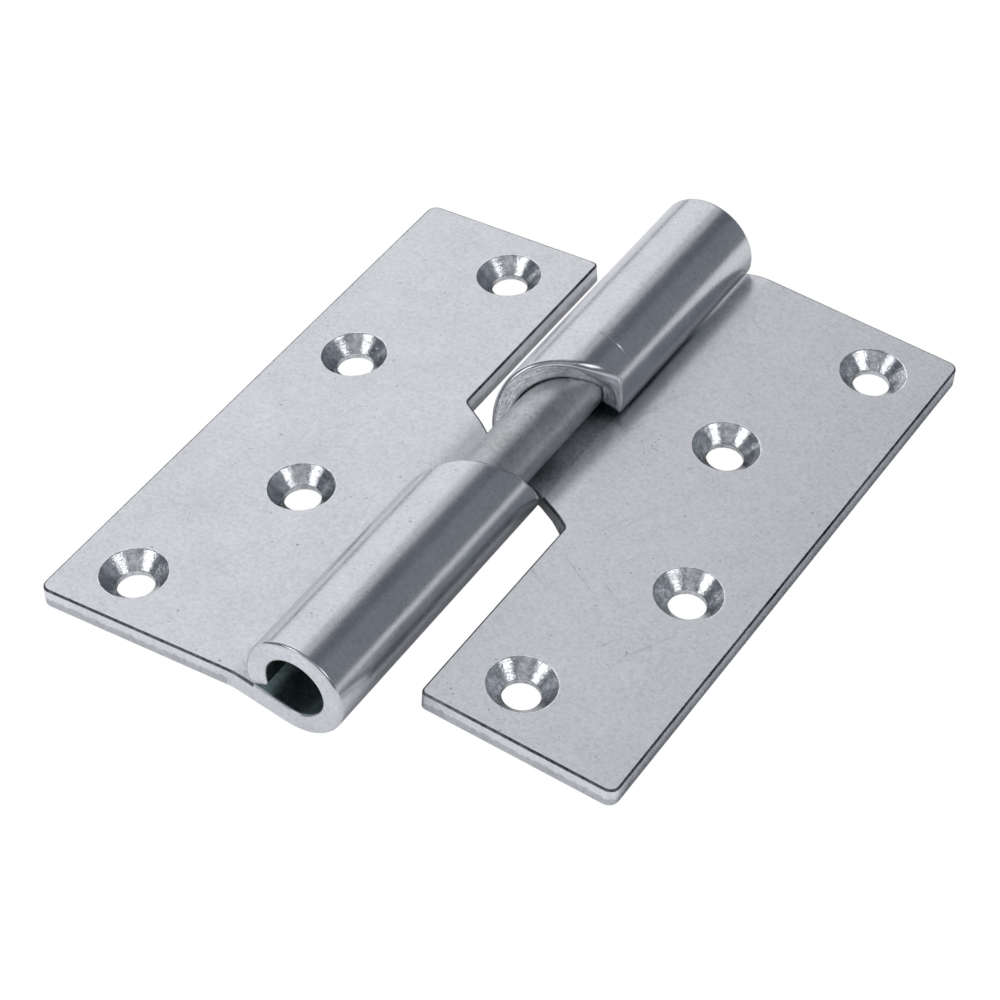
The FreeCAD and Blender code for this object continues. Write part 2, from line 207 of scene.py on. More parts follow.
def along_strip(travel):
    """Mid-line point, direction of travel and face direction, each as (x, z) about the pin."""
    if travel >= slope_start:
        angle = travel / mid_radius - math.pi / 2
        outward = Vector((math.cos(angle), math.sin(angle)))
        return outward * mid_radius, Vector((-outward.y, outward.x)), -outward
    if travel >= bend_start:
        face = Vector((math.sin(crank_angle), math.cos(crank_angle)))
        return slope_foot + slope_way * (travel - slope_start), slope_way, face
    if travel >= flat_start:
        angle = (travel - flat_start) / crank_bend
        face = Vector((math.sin(angle), math.cos(angle)))
        return bend_centre + face * crank_bend, Vector((face.y, -face.x)), face
    return Vector((bend_centre.x + travel - flat_start, level_height)), Vector((1, 0)), Vector((0, 1))


def travel_at(x):
    """The inverse of the rule on the leaf side of the pin: how far along the strip a given x is."""
    low, high = -leaf_reach - 5 * MM, 0.0
    for _ in range(40):
        middle = (low + high) / 2
        if along_strip(middle)[0].x < x:
            low = middle
        else:
            high = middle
    return (low + high) / 2


edge_travel = travel_at(-leaf_reach)
print("strip length %.1f mm, of which %.1f mm is roll" % (
    (roll_end - edge_travel) / MM, (roll_end - slope_start) / MM))

# %% [markdown]
# ## The blank's outline
#
# Seen flat, the blank is a rectangle with a notch. The notch's edge first runs square to the leaf,
# turns the corner, and then runs on a slant into the part that gets rolled. The slant is the ramp:
# a straight line on the flat blank, a helix on the knuckle. Corners are short arcs. seam_travel is
# where the end of the roll comes down on the leaf: metal beyond it is inside the knuckle.

# %% Outline of the blank
half_length = leaf_length / 2
ramp_gap = 0.6 * MM
ramp_root = (leaf_shift - ramp_gap) / 2
crest_depth = 16.0 * MM
crest = ramp_root - crest_depth
notch_x = -13.1 * MM
relief_x = -6.0 * MM
relief_rise = 3.0 * MM
notch_rise = 7.6 * MM
corner_radius = 1.6 * MM
notch_radius = 1.0 * MM
roll_steps = 72
crest_radius = 1.5 * MM
least_step = 0.45 * MM
seam_travel = travel_at(-knuckle_radius * math.cos(roll_close))


def ramp_height(travel):
    """Where the ramp edge is, along the pin, at a place on the strip."""
    if travel >= 0:
        return max(crest, ramp_root - ramp_per_radian * travel / mid_radius)
    x = along_strip(travel)[0].x
    if x > relief_x:
        return ramp_root + relief_rise * x / relief_x
    return ramp_root + relief_rise + (notch_rise - relief_rise) * (x - relief_x) / (notch_x - relief_x)


def corner(centre, radius, start, turn, steps=6):
    """Points of a rounded corner; angles in degrees."""
    across, up = centre
    angles = [math.radians(start + turn * step / steps) for step in range(steps + 1)]
    return [(across + radius * math.cos(angle), up + radius * math.sin(angle)) for angle in angles]


def strip_stations():
    """Places along the strip where the bent sheet needs a line of vertices."""
    bend = [flat_start + (bend_start - flat_start) * step / 4 for step in range(5)]
    slope = [seam_travel, travel_at(relief_x), slope_start, slope_start / 2, 0.0]
    roll = [roll_end * step / roll_steps for step in range(1, roll_steps)]
    return bend + slope + [travel for travel in roll if travel < roll_end - crest_radius - least_step]


notch_travel = travel_at(notch_x)
crest_corner = corner((roll_end - crest_radius, crest - crest_radius), crest_radius, 0, 90)
stations = [travel for travel in strip_stations() if travel > notch_travel + 0.2 * MM]
stations += [travel for travel, _ in reversed(crest_corner[:-1]) if stations[-1] + least_step / 2 < travel]
stations = [travel for travel in stations if travel < roll_end - least_step]

notch_slope = (notch_rise - relief_rise) / (relief_x - notch_x)
notch_turn = math.degrees(math.atan2(1, notch_slope))
notch_lift = notch_radius * (math.sqrt(1 + notch_slope ** 2) - notch_slope)
notch_centre = (notch_travel + notch_radius, ramp_height(notch_travel) + notch_lift)

front = corner((edge_travel + corner_radius, -half_length + corner_radius), corner_radius, 180, 90)
front += [(travel, -half_length) for travel in [notch_travel] + stations + [roll_end]]
ramp = crest_corner + [(travel, ramp_height(travel)) for travel in reversed(stations)
                       if travel < roll_end - crest_radius - least_step / 2]
notch = corner(notch_centre, notch_radius, 180 + notch_turn, -notch_turn)
top = corner((notch_travel - notch_radius, half_length - notch_radius), notch_radius, 0, 90)
top += corner((edge_travel + corner_radius, half_length - corner_radius), corner_radius, 90, 90)
outline = front + ramp + notch + top
facing = {round(x, 7): len(front) + place for place, (x, y) in enumerate(ramp)}
station_lines = [(place, facing[round(x, 7)]) for place, (x, y) in enumerate(front)
                 if round(x, 7) in facing and x < roll_end]
print("outline has", len(outline), "points,", len(station_lines), "lines across the roll")

# %% [markdown]
# ## Rounded edges
#
# A press tool drags the top edge of the metal down a little as it cuts, and leaves the other edge
# nearly sharp. Rolling then stretches the outside of the knuckle, so its end edges come out rounder
# than the edges of the leaf. Each outline point therefore has its own two roundings, and the edge is
# a stack of rings, each set in from the outline by a little less than the one above it.

# %% Rings round the edge
face_round = 0.3 * MM
back_round = 0.2 * MM
end_round = 0.5 * MM
ramp_round = 0.8 * MM
crest_wear = 1.0 * MM
worn_middle = math.radians(228)
worn_reach = math.radians(26)
seam_fade = 4 * MM
round_steps = 6


def knuckle_share(travel):
    """0 on the flat leaf, 1 on the roll, with a smooth change over the crank.

    The hidden inner end of the roll is sheared like the leaf, so the share falls back towards it."""
    share = min(1.0, max(0.0, (travel - flat_start) / (0 - flat_start)))
    share = min(share, max(0.0, (roll_end - travel) / seam_fade))
    return share * share * (3 - 2 * share)


def inward_normals(points):
    """Inward direction at each point, lengthened at sharp corners so that the inset stays even."""
    result = []
    for place, (x, y) in enumerate(points):
        before, after = points[place - 1], points[(place + 1) % len(points)]
        first = Vector((x - before[0], y - before[1])).normalized()
        second = Vector((after[0] - x, after[1] - y)).normalized()
        inward = Vector((-first.y - second.y, first.x + second.x)).normalized()
        reach = max(0.6, inward.dot(Vector((-second.y, second.x))))
        result.append((inward, inward / reach))
    return result


def worn_round(travel):
    """Rounding of the ramp's outer edge: the crest, which lands first, is worn the most."""
    from_crest = (travel / mid_radius - worn_middle) / worn_reach
    return ramp_round + crest_wear * math.exp(-from_crest ** 2)


def edge_rings(points, wobble):
    """Rings from the face edge to the back edge: lists of (place, flat normal) in blank coordinates."""
    insets = inward_normals(points)
    rings = []
    for side, leaf_round in ((1, face_round), (-1, back_round)):
        for step in range(round_steps + 1):
            angle = math.pi / 2 * (1 - step / round_steps)
            ring = []
            for (x, y), (inward, inset), shake in zip(points, insets, wobble):
                on_ramp = y > -half_length + MM
                knuckle_round = worn_round(x) if on_ramp and side < 0 else end_round
                radius = leaf_round + (knuckle_round - leaf_round) * knuckle_share(x)
                depth = radius * (1 - math.cos(angle)) + shake
                height = side * (half_strip - radius * (1 - math.sin(angle)))
                place = Vector((x + inset.x * depth, y + inset.y * depth, height))
                out = -inward * math.cos(angle)
                ring.append((place, Vector((out.x, out.y, side * math.sin(angle)))))
            rings.append(ring)
    face_side, back_side = rings[:round_steps + 1], rings[round_steps + 1:]
    return face_side + back_side[::-1]


# %% [markdown]
# ## Screw holes
#
# The holes are punched and then countersunk on a drill press, so each one is a cone that runs out
# into a short straight hole. A hole is also a stack of rings: a hair of rounding at the face, the
# cone, the corner, the straight wall, and a hair of rounding again at the back. The angle round the
# hole is kept for the material, which needs it to draw the marks that the tool leaves.

# %% Rings round a hole
def hole_places():
    """Centres of the four holes on the blank, from the two screw mounts of the leaf."""
    places = []
    for row in ("inner", "outer"):
        mount = mounts[f"frame_leaf_{row}_screws"]
        across = mount["pos_m"][0] * math.cos(lean) + (mount["pos_m"][2] - pin_height) * math.sin(lean)
        middle = mount["pos_m"][1] + leaf_shift / 2
        for side in (-1, 1):
            places.append((travel_at(across), middle + side * mount["dims"]["pcd_mm"] * MM / 2))
    return places


hole_radius = mounts["frame_leaf_inner_screws"]["dims"]["hole_r_mm"] * MM
sink_radius = 5.0 * MM
rim = 0.12 * MM
hole_sides = 64
cone_height = half_strip - (sink_radius - hole_radius)
slant = math.sqrt(0.5)
HOLE_PROFILE = [
    (sink_radius + rim, half_strip, (0, 1)),
    (sink_radius, half_strip - rim * 0.4, (-0.38, 0.92)),
    (sink_radius - rim * 0.7, half_strip - rim, (-slant, slant)),
    (hole_radius + rim * 0.5, cone_height + rim * 0.5, (-slant, slant)),
    (hole_radius, cone_height - rim * 0.4, (-1, 0)),
    (hole_radius, -half_strip + rim, (-1, 0)),
    (hole_radius + rim * 0.4, -half_strip + rim * 0.4, (-slant, -slant)),
    (hole_radius + rim, -half_strip, (0, -1)),
]


def hole_rings(centre):
    """Rings of one hole, from the face to the back, with the angle round the hole."""
    rings = []
    for radius, height, (out, up) in HOLE_PROFILE:
        ring = []
        for step in range(hole_sides):
            angle = math.tau * step / hole_sides
            way = Vector((math.cos(angle), math.sin(angle)))
            place = Vector((centre[0] + way.x * radius, centre[1] + way.y * radius, height))
            ring.append((place, Vector((way.x * out, way.y * out, up))))
        rings.append(ring)
    return rings


print("holes at (mm)", [[round(value / MM, 2) for value in place] for place in hole_places()])

# %% [markdown]
# ## The blank as a mesh
#
# The face and the back of the blank are filled by a constrained Delaunay triangulation, which keeps
# the outline, the holes and the lines across the roll as edges. Each face remembers which finish it
# gets, and each corner remembers where it is along the cut and across it, because shears and drills
# leave marks that follow those two directions.

# %% Blank builder
FACE, ROLL, EDGE, SINK, RAMP, BORE, RIM, END = range(8)


class Sheet:
    """Vertices in blank coordinates with their flat normals, and faces with a finish each."""

    def __init__(self):
        self.places, self.normals, self.faces, self.finishes, self.marks = [], [], [], [], []

    def add_ring(self, ring):
        first = len(self.places)
        self.places += [place for place, _ in ring]
        self.normals += [normal for _, normal in ring]
        return list(range(first, first + len(ring)))

    def add_face(self, corners, finish, marks):
        self.faces.append(corners)
        self.finishes.append(finish)
        self.marks.append(marks)

    def bridge(self, upper, lower, finish_at, along, across, hole=False):
        """Quads between two rings of the same size; a hole's rings face the other way."""
        count = len(upper)
        for place in range(count):
            after = (place + 1) % count
            corners = [upper[place], lower[place], lower[after], upper[after]]
            start, end = along[place], along[place + 1]
            marks = [(start, across[0]), (start, across[1]), (end, across[1]), (end, across[0])]
            if hole:
                corners.reverse()
                marks.reverse()
            self.add_face(corners, finish_at(self.places[upper[place]], self.places[upper[after]]), marks)

    def fill(self, loops, lines, side):
        """Fill between the first loop and the others, on one side of the strip."""
        numbers = [number for loop in loops for number in loop]
        lookup = {number: place for place, number in enumerate(numbers)}
        flat = [self.places[number].xy for number in numbers]
        edges = [(lookup[a], lookup[b]) for a, b in lines]
        for loop in loops:
            edges += [(lookup[a], lookup[b]) for a, b in zip(loop, loop[1:] + loop[:1])]
        spots, _, triangles, sources, _, _ = delaunay_2d_cdt(flat, edges, [], 0, 1e-9)
        border = [self.places[number].xy for number in loops[0]]
        hole_edge = rim + (sink_radius if side > 0 else hole_radius)
        for triangle in triangles:
            middle = sum((spots[place] for place in triangle), Vector((0, 0))) / 3
            in_hole = any((middle - Vector(centre)).length < hole_edge for centre in hole_places())
            if in_hole or not inside(middle, border):
                continue
            corners = [numbers[sources[place][0]] for place in triangle]
            finish = FACE
            # The face side inside the roll gets the bore finish, which carries painted shade.
            if side > 0 and middle.x > seam_travel:
                finish = BORE
            elif middle.x > slope_start:
                finish = ROLL
            self.add_face(corners if side > 0 else corners[::-1], finish, [(0.0, 0.0)] * 3)


def inside(spot, border):
    """Whether a spot lies inside a closed outline, by counting crossings."""
    crossings = False
    for a, b in zip(border, border[1:] + border[:1]):
        if (a.y > spot.y) != (b.y > spot.y) and spot.x < a.x + (spot.y - a.y) / (b.y - a.y) * (b.x - a.x):
            crossings = not crossings
    return crossings


def cut_finish(a, b):
    """The leaf's edges are plainly sheared; the ramp is scored and the knuckle's free end is clean."""
    middle = (a + b) / 2
    if middle.x < notch_travel + MM:
        return EDGE
    return RAMP if middle.y > -half_length + 3 * MM else END


def face_rim_finish(a, b):
    """Along the leaf, the rounded top edge gets a painted shade line."""
    return RIM if (a.x + b.x) / 2 < seam_travel else cut_finish(a, b)


def back_rim_finish(a, b):
    """The outer edge of the knuckle is burnished by the rolling die."""
    return ROLL if (a.x + b.x) / 2 > slope_start else cut_finish(a, b)


def running_length(places):
    """Length along a closed ring, from its first point on, in millimetres."""
    lengths = [0.0]
    for a, b in zip(places, places[1:] + places[:1]):
        lengths.append(lengths[-1] + (b - a).length / MM)
    return lengths


def build_sheet(seed):
    """One whole blank: edge, holes, face and back."""
    dice = random.Random(seed)
    waves = [(dice.uniform(0, math.tau), dice.uniform(150, 420), dice.uniform(0.3, 1.0)) for _ in range(5)]
    wobble = []
    for x, y in outline:
        wave = sum(size * math.sin(rate * (x + y) + phase) for phase, rate, size in waves) / 5
        wobble.append(0.03 * MM * (1 + wave))
    sheet = Sheet()
    rings = [sheet.add_ring(ring) for ring in edge_rings(outline, wobble)]
    along = running_length([sheet.places[number] for number in rings[round_steps]])
    for place, (upper, lower) in enumerate(zip(rings, rings[1:])):
        if place < round_steps:
            sheet.bridge(upper, lower, face_rim_finish, along, (0.0, 0.0))
        elif place == round_steps:
            sheet.bridge(upper, lower, cut_finish, along, (0.0, 1.0))
        else:
            sheet.bridge(upper, lower, back_rim_finish, along, (1.0, 1.0))
    loops = {1: [rings[0]], -1: [rings[-1]]}
    for number, centre in enumerate(hole_places()):
        turn = [number * 3 + step / hole_sides for step in range(hole_sides + 1)]
        hole = [sheet.add_ring(ring) for ring in hole_rings(centre)]
        depths = [sheet.places[ring[0]].z / strip for ring in hole]
        for place in range(len(hole) - 1):
            span = (depths[place], depths[place + 1])
            sheet.bridge(hole[place], hole[place + 1], lambda a, b: SINK, turn, span, hole=True)
        loops[1].append(hole[0])
        loops[-1].append(hole[-1])
    for side, side_loops in loops.items():
        lines = [(side_loops[0][a], side_loops[0][b]) for a, b in station_lines]
        sheet.fill(side_loops, lines, side)
    return sheet


def blank_object(name, seed):
    """The flat blank, with its normals, finishes and tool marks stored on the mesh."""
    sheet = build_sheet(seed)
    mesh = bpy.data.meshes.new(name + "_blank")
    mesh.from_pydata(sheet.places, [], sheet.faces)
    normals = mesh.attributes.new("blank_normal", "FLOAT_VECTOR", "POINT")
    normals.data.foreach_set("vector", [value for normal in sheet.normals for value in normal])
    finishes = mesh.attributes.new("finish", "INT", "FACE")
    finishes.data.foreach_set("value", sheet.finishes)
    marks = mesh.uv_layers.new(name="tool_marks")
    marks.data.foreach_set("uv", [value for corners in sheet.marks for mark in corners for value in mark])
    blank = bpy.data.objects.new(name + "_blank", mesh)
    bpy.context.collection.objects.link(blank)
    return blank


# %% [markdown]
# ## Rolling the blank
#
# The bending rule again, this time as a node tree that moves every vertex of a flat blank. The
# heading of the strip grows steadily with the distance along it wherever it is bent, and stays the
# same wherever it is straight, so the bent place is the sum of four parts: roll, slope, bend and flat.
# The tree also turns the stored normals by the same heading, and ends by handing out the finishes.

# %% Node tree: roll the strip
def position_parts(tree, travel, given):
    """Sum of the four parts of the strip; returns x, z and the heading."""
    crank = given["Crank Angle"]
    slope_from = maths(tree, "MULTIPLY", maths(tree, "MULTIPLY", given["Roll Radius"], crank), -1.0)
    bend_from = maths(tree, "SUBTRACT", slope_from, given["Slope Length"])
    bend_length = maths(tree, "MULTIPLY", given["Bend Radius"], crank)
    flat_from = maths(tree, "SUBTRACT", bend_from, bend_length)

    rolled = maths(tree, "DIVIDE", maths(tree, "MAXIMUM", travel, slope_from), given["Roll Radius"])
    x_roll = maths(tree, "MULTIPLY", maths(tree, "SINE", rolled), given["Roll Radius"])
    z_roll = maths(tree, "MULTIPLY", maths(tree, "COSINE", rolled), given["Roll Radius"])

    sloped = maths(tree, "MAXIMUM", maths(tree, "SUBTRACT", travel, slope_from), 0.0)
    sloped = maths(tree, "SUBTRACT", maths(tree, "SUBTRACT", travel, slope_from), sloped)
    sloped = maths(tree, "MAXIMUM", sloped, maths(tree, "MULTIPLY", given["Slope Length"], -1.0))
    x_slope = maths(tree, "MULTIPLY", sloped, maths(tree, "COSINE", crank))
    z_slope = maths(tree, "MULTIPLY", sloped, maths(tree, "SINE", crank))

    bent = maths(tree, "DIVIDE", maths(tree, "SUBTRACT", travel, flat_from), given["Bend Radius"])
    bent = maths(tree, "MINIMUM", maths(tree, "MAXIMUM", bent, 0.0), crank)
    x_bend = maths(tree, "SUBTRACT", maths(tree, "SINE", bent), maths(tree, "SINE", crank))
    z_bend = maths(tree, "SUBTRACT", maths(tree, "COSINE", bent), maths(tree, "COSINE", crank))

    flat = maths(tree, "MINIMUM", maths(tree, "SUBTRACT", travel, flat_from), 0.0)
    x = maths(tree, "ADD", x_roll, maths(tree, "ADD", x_slope, flat))
    x = maths(tree, "MULTIPLY_ADD", x_bend, given["Bend Radius"], x)
    z = maths(tree, "MULTIPLY", maths(tree, "ADD", z_roll, z_slope), -1.0)
    z = maths(tree, "MULTIPLY_ADD", z_bend, given["Bend Radius"], z)
    heading = maths(tree, "ADD", rolled, maths(tree, "SUBTRACT", crank, bent))
    return x, z, heading


def turned(tree, x, z, sine, cosine):
    """The pair (x, z) turned by the heading."""
    new_x = maths(tree, "SUBTRACT", maths(tree, "MULTIPLY", x, cosine), maths(tree, "MULTIPLY", z, sine))
    new_z = maths(tree, "ADD", maths(tree, "MULTIPLY", x, sine), maths(tree, "MULTIPLY", z, cosine))
    return new_x, new_z


def rolling_tree(finishes):
    """The whole rule as a node tree; finishes are in the order of the finish numbers."""
    sizes = [("Roll Radius", mid_radius), ("Crank Angle", crank_angle), ("Bend Radius", crank_bend),
             ("Slope Length", slope_length)]
    inputs = [("Blank", "NodeSocketGeometry", None)]
    inputs += [(label, "NodeSocketFloat", size) for label, size in sizes]
    tree, entry, result = new_group(
        "roll_the_strip", inputs, [("Leaf", "NodeSocketGeometry")], "GeometryNodeTree")
    given = entry.outputs
    position = add(tree, "GeometryNodeInputPosition").outputs[0]
    place = add(tree, "ShaderNodeSeparateXYZ", {0: position}).outputs
    stored = add(tree, "GeometryNodeInputNamedAttribute", {
        "Name": "blank_normal"}, data_type="FLOAT_VECTOR")
    normal = add(tree, "ShaderNodeSeparateXYZ", {0: stored.outputs["Attribute"]}).outputs
    x, z, heading = position_parts(tree, place["X"], given)
    sine, cosine = maths(tree, "SINE", heading), maths(tree, "COSINE", heading)
    rise = turned(tree, 0.0, place["Z"], sine, cosine)
    spot = add(tree, "ShaderNodeCombineXYZ", {
        "X": maths(tree, "ADD", x, rise[0]), "Y": place["Y"], "Z": maths(tree, "ADD", z, rise[1])})
    way = turned(tree, normal["X"], normal["Z"], sine, cosine)
    shading = add(tree, "ShaderNodeCombineXYZ", {"X": way[0], "Y": normal["Y"], "Z": way[1]})
    keep = add(tree, "GeometryNodeStoreNamedAttribute", {
        "Geometry": given["Blank"], "Name": "leaf_normal", "Value": shading.outputs[0]},
        data_type="FLOAT_VECTOR", domain="POINT")
    moved = add(tree, "GeometryNodeSetPosition", {
        "Geometry": keep.outputs["Geometry"], "Position": spot.outputs[0]})
    leaf = add(tree, "GeometryNodeRealizeInstances", {"Geometry": moved.outputs["Geometry"]}).outputs[0]
    number = add(tree, "GeometryNodeInputNamedAttribute", {"Name": "finish"}, data_type="INT")
    for place_in_list, finish in enumerate(finishes):
        chosen = add(tree, "FunctionNodeCompare", {
            2: number.outputs["Attribute"], 3: place_in_list}, data_type="INT", operation="EQUAL")
        leaf = add(tree, "GeometryNodeSetMaterial", {
            "Geometry": leaf, "Selection": chosen.outputs[0], "Material": finish}).outputs["Geometry"]
    tree.links.new(leaf, result.inputs["Leaf"])
    return tree


# %% [markdown]
# ## From blank to leaf
#
# The tree is applied once, so that the leaf ends as a plain mesh. Its own frame is then leaned and
# moved to where the hinge needs it, and the second leaf is turned end for end. The stored normals
# become the mesh's normals: the large faces shade dead flat and the knuckle as one smooth cylinder.

# %% Leaf builder
def leaf_place(name):
    """Where a leaf's own frame sits in the hinge: leaning down, shifted along the pin, and turned."""
    leaning = mathutils.Matrix.Rotation(-lean, 4, "Y")
    lift = mathutils.Matrix.Translation((0, -leaf_shift / 2, pin_height))
    turn = mathutils.Matrix.Rotation(math.pi if name == "door_leaf" else 0.0, 4, "Z")
    return turn @ lift @ leaning


def build_leaf(name, seed, tree):
    """Roll one blank and put it in its place; returns the finished piece."""
    blank = blank_object(name, seed)
    modifier = blank.modifiers.new("roll", "NODES")
    modifier.node_group = tree
    graph = bpy.context.evaluated_depsgraph_get()
    mesh = bpy.data.meshes.new_from_object(blank.evaluated_get(graph), depsgraph=graph)
    bpy.data.objects.remove(blank)
    matrix = leaf_place(name)
    mesh.transform(matrix)
    turn = matrix.to_3x3()
    normals = [turn @ Vector(item.vector) for item in mesh.attributes["leaf_normal"].data]
    for spare in ("blank_normal", "leaf_normal", "finish"):
        mesh.attributes.remove(mesh.attributes[spare])
    mesh.shade_smooth()
    mesh.normals_split_custom_set_from_vertices(normals)
    mesh.name = name + "_pressed"
    piece = bpy.data.objects.new(name + "_pressed", mesh)
    bpy.context.collection.objects.link(piece)
    print(name, "has", len(mesh.vertices), "vertices and", len(mesh.polygons), "faces")
    return piece


# %% [markdown]
# ## The pin
#
# A length of drawn bar with a chamfer on each end. It is a lathe shape: a few (radius, place) pairs
# turned round the pin's axis.

# %% Pin builder
pin_low, pin_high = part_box("hinge_pin")
pin_radius = (pin_high.x - pin_low.x) / 2
pin_sides = 96


def build_pin(name, finish):
    chamfer = 0.8 * MM
    profile = [
        (0.0, pin_low.y), (pin_radius - chamfer, pin_low.y), (pin_radius, pin_low.y + chamfer),
        (pin_radius, pin_high.y - chamfer), (pin_radius - chamfer, pin_high.y), (0.0, pin_high.y)]
    spots = []
    for radius, y in profile[1:-1]:
        for step in range(pin_sides):
            angle = math.tau * step / pin_sides
            spots.append((radius * math.sin(angle), y, pin_height + radius * math.cos(angle)))
    faces = []
    for ring in range(3):
        for step in range(pin_sides):
            after = (step + 1) % pin_sides
            low, high = ring * pin_sides, (ring + 1) * pin_sides
            faces.append((low + step, low + after, high + after, high + step))
    faces.append(list(range(pin_sides))[::-1])
    faces.append(list(range(3 * pin_sides, 4 * pin_sides)))
    mesh = bpy.data.meshes.new(name)
    mesh.from_pydata(spots, [], faces)
    mesh.materials.append(finish)
    for face in mesh.polygons:
        face.use_smooth = len(face.vertices) == 4
    mesh.set_sharp_from_angle(angle=math.radians(30))
    piece = bpy.data.objects.new(name, mesh)
    bpy.context.collection.objects.link(piece)
    return piece


# %% [markdown]
# ## What zinc plating looks like
#
# Bright zinc is never even. It has a soft cloudiness a few millimetres across from the bath, a fine
# grain from the rolled strip under it, and small dark specks where the plating missed a pit. One
# group makes all three from noise at three scales, and each finish asks for its own amounts.

# %% Group: plating
def plating_group():
    """Cloud, grain and specks as one shade, one dulling and one height."""
    inputs = [("Place", "NodeSocketVector", None), ("Cloud", "NodeSocketFloat", 0.05),
              ("Grain", "NodeSocketFloat", 0.05), ("Specks", "NodeSocketFloat", 0.3)]
    outputs = [("Shade", "NodeSocketFloat"), ("Dulling", "NodeSocketFloat"), ("Height", "NodeSocketFloat")]
    group, given, result = new_group("plating", inputs, outputs)
    place = given.outputs["Place"]
    cloud = ramp_between(group, noise(group, place, 110, 6, 0.68), 0.3, 0.7, -1, 1)
    grain = ramp_between(group, noise(group, place, 1500, 4, 0.7), 0.25, 0.75, -1, 1)
    pits = ramp_between(group, noise(group, place, 1500, 2, 0.5), 0.64, 0.74)
    drift = ramp_between(group, noise(group, place, 240, 2), 0.40, 0.60)
    speck = maths(group, "MULTIPLY", pits, drift)
    shade = maths(group, "MULTIPLY_ADD", cloud, given.outputs["Cloud"], 1.0)
    shade = maths(group, "MULTIPLY_ADD", grain, given.outputs["Grain"], shade)
    dark = maths(group, "MULTIPLY", speck, given.outputs["Specks"])
    group.links.new(maths(group, "SUBTRACT", shade, dark), result.inputs["Shade"])
    dulling = maths(group, "MULTIPLY_ADD", speck, 4.0, cloud)
    group.links.new(dulling, result.inputs["Dulling"])
    height = maths(group, "SUBTRACT", grain, maths(group, "MULTIPLY", speck, 3.0))
    group.links.new(height, result.inputs["Height"])
    return group


# %% [markdown]
# ## Handling scratches
#
# Parts rub against each other in the barrel while they are plated. That leaves short hairlines in
# every direction. A noise stretched a hundred to one along one direction draws them, cut off so that
# only its peaks are left.

# %% Group: scratches
def scratch_group():
    """A mask of short hairlines."""
    inputs = [("Place", "NodeSocketVector", None)]
    group, given, result = new_group("handling_scratches", inputs, [("Mask", "NodeSocketFloat")])
    place = given.outputs["Place"]
    lines = []
    for turn, fine, coarse in ((0.5, 900, 45), (-1.1, 1100, 60), (1.9, 800, 35)):
        along = stretched(group, place, (coarse, fine, coarse), (0, 0, turn))
        peaks = ramp_between(group, noise(group, along, 1.0, 1), 0.70, 0.76)
        patch = ramp_between(group, noise(group, place, 60 + 15 * turn, 2), 0.5, 0.6)
        lines.append(maths(group, "MULTIPLY", peaks, patch))
    both = maths(group, "MAXIMUM", lines[0], lines[1])
    group.links.new(maths(group, "MAXIMUM", both, lines[2]), result.inputs["Mask"])
    return group


plating = plating_group()
scratches = scratch_group()
print("groups", [group.name for group in bpy.data.node_groups])

# %% [markdown]
# ## One builder for the plated finishes
#
# Every plated surface is the same metal, so one builder makes them all. It puts the two groups
# together, tints the metal, and leaves the bump strengths and the roughness to each finish.

# %% Plated finish builder
hairline_shade = 0.09


def plated(name, tint, roughness, cloud=0.05, grain=0.05, specks=0.3, bump=0.1, spread=0.05):
    """A plated metal; returns the material with its tree, shader, place, shade and height sockets."""
    material = bpy.data.materials.new(name)
    material.use_nodes = True
    tree = material.node_tree
    shader = tree.nodes["Principled BSDF"]
    shader.inputs["Metallic"].default_value = 1.0
    place = add(tree, "ShaderNodeTexCoord").outputs["Object"]
    amounts = {"Place": place, "Cloud": cloud, "Grain": grain, "Specks": specks}
    surface = add(tree, "ShaderNodeGroup", amounts, node_tree=plating)
    line = add(tree, "ShaderNodeGroup", {"Place": place}, node_tree=scratches).outputs["Mask"]
    shade = maths(tree, "MULTIPLY_ADD", line, -hairline_shade, surface.outputs["Shade"])
    dull = maths(tree, "MULTIPLY_ADD", surface.outputs["Dulling"], spread, roughness)
    height = maths(tree, "MULTIPLY_ADD", line, -1.5, surface.outputs["Height"])
    parts = {"material": material, "tree": tree, "shader": shader, "place": place, "shade": shade,
             "rough": dull, "height": height, "tint": tint, "bump": bump}
    return parts


def finish_off(parts, bump_distance=0.02 * MM):
    """Join the shade, roughness and height to the shader; returns the material."""
    tree, shader = parts["tree"], parts["shader"]
    values = {0: parts["tint"], "Scale": parts["shade"]}
    tinted = add(tree, "ShaderNodeVectorMath", values, operation="SCALE")
    tree.links.new(tinted.outputs[0], shader.inputs["Base Color"])
    tree.links.new(parts["rough"], shader.inputs["Roughness"])
    values = {"Height": parts["height"], "Strength": parts["bump"], "Distance": bump_distance}
    bump = add(tree, "ShaderNodeBump", values)
    tree.links.new(bump.outputs[0], shader.inputs["Normal"])
    return parts["material"]


# %% [markdown]
# ## Marks left by tools
#
# Three finishes carry marks that follow the cut, so they read the tool marks map instead of the
# object's own coordinates. In it the first number runs along the cut and the second across it.
# Stretching a noise along one of them gives chatter in the countersinks, vertical tearing on the
# sheared edges and long scores on the ramp.

# %% Tool mark helpers
def tool_streaks(parts, along, across, detail=2.0):
    """Noise stretched on the tool marks map; along and across are its two scales."""
    marks = add(parts["tree"], "ShaderNodeUVMap", uv_map="tool_marks").outputs[0]
    return noise(parts["tree"], stretched(parts["tree"], marks, (along, across, 1)), 1.0, detail)


def add_to(parts, key, value, amount, middle=0.5):
    """Add amount times (value - middle) to the shade, roughness or height of a finish."""
    tree = parts["tree"]
    offset = maths(tree, "SUBTRACT", value, middle)
    parts[key] = maths(tree, "MULTIPLY_ADD", offset, amount, parts[key])
